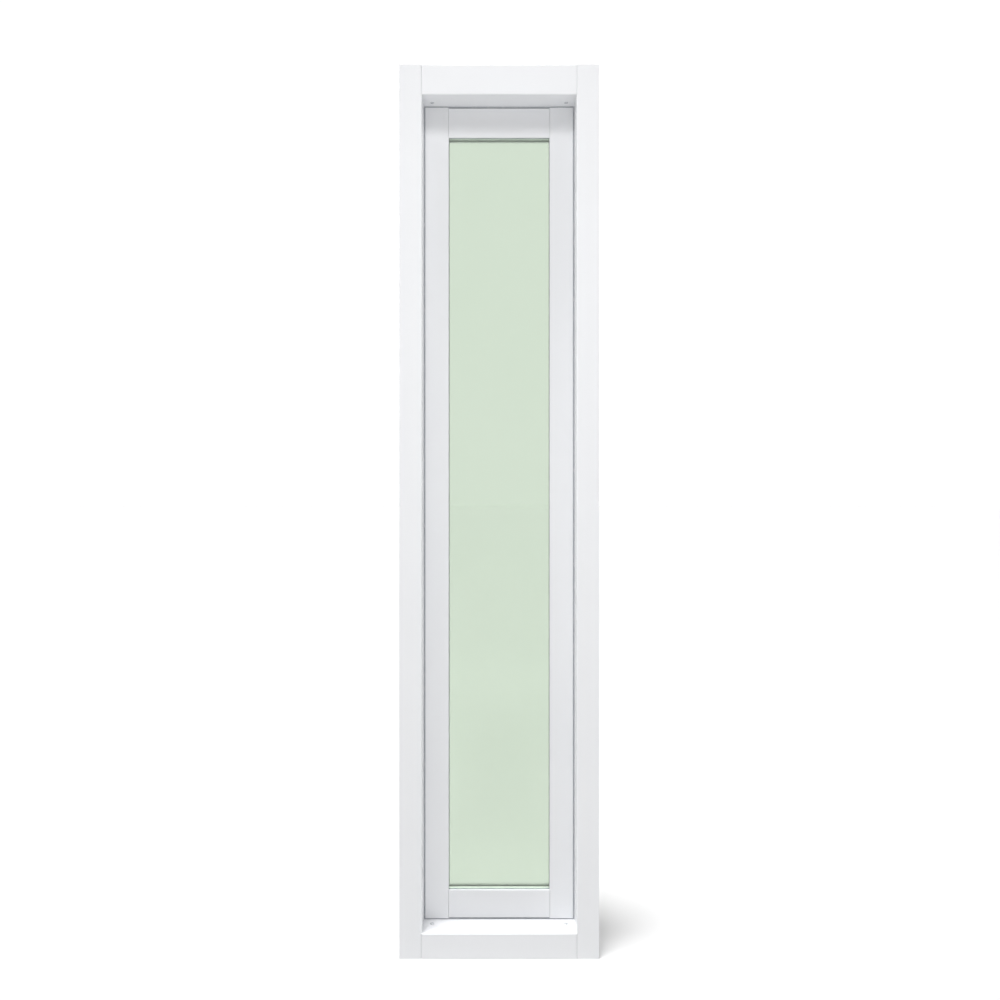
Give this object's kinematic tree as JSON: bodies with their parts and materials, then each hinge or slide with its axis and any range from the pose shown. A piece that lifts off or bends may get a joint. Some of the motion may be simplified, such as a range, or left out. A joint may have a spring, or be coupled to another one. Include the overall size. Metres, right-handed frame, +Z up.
{
  "type": "window",
  "caption": "Tall, narrow aluminium window: a deep box frame with a glazed sash set back in it.",
  "frame": {"origin": "middle of the sill's underside, at half the frame's depth", "axes": "+Z up, +X to the right and +Y to the back, as seen from the front, where the sash is set back"},
  "size_m": [0.46, 0.1145, 2.057],
  "materials": {
    "coated_aluminium": "semi-gloss",
    "mill_aluminium": "satin",
    "glass": "gloss",
    "rubber": "matte",
    "block": "matte"
  },
  "bodies": {
    "root": {"back_gasket_bottom": "rubber", "back_gasket_left": "rubber", "back_gasket_right": "rubber", "back_gasket_top": "rubber", "bead_bottom": "coated_aluminium", "bead_left": "coated_aluminium", "bead_right": "coated_aluminium", "bead_top": "coated_aluminium", "bottom_rail": "coated_aluminium", "filler_bottom": "coated_aluminium", "filler_left": "coated_aluminium", "filler_right": "coated_aluminium", "filler_top": "coated_aluminium", "flange_seal_bottom": "rubber", "flange_seal_left": "rubber", "flange_seal_right": "rubber", "flange_seal_top": "rubber", "front_gasket_bottom": "rubber", "front_gasket_left": "rubber", "front_gasket_right": "rubber", "front_gasket_top": "rubber", "gap_seal_bottom": "rubber", "gap_seal_left": "rubber", "gap_seal_right": "rubber", "gap_seal_top": "rubber", "head": "coated_aluminium", "inner_pane": "glass", "jamb_left": "coated_aluminium", "jamb_right": "coated_aluminium", "outer_pane": "glass", "setting_block_left": "block", "setting_block_right": "block", "sill": "coated_aluminium", "spacer_bottom": "mill_aluminium", "spacer_left": "mill_aluminium", "spacer_right": "mill_aluminium", "spacer_top": "mill_aluminium", "stile_left": "coated_aluminium", "stile_right": "coated_aluminium", "top_rail": "coated_aluminium"}
  },
  "joints": []
}
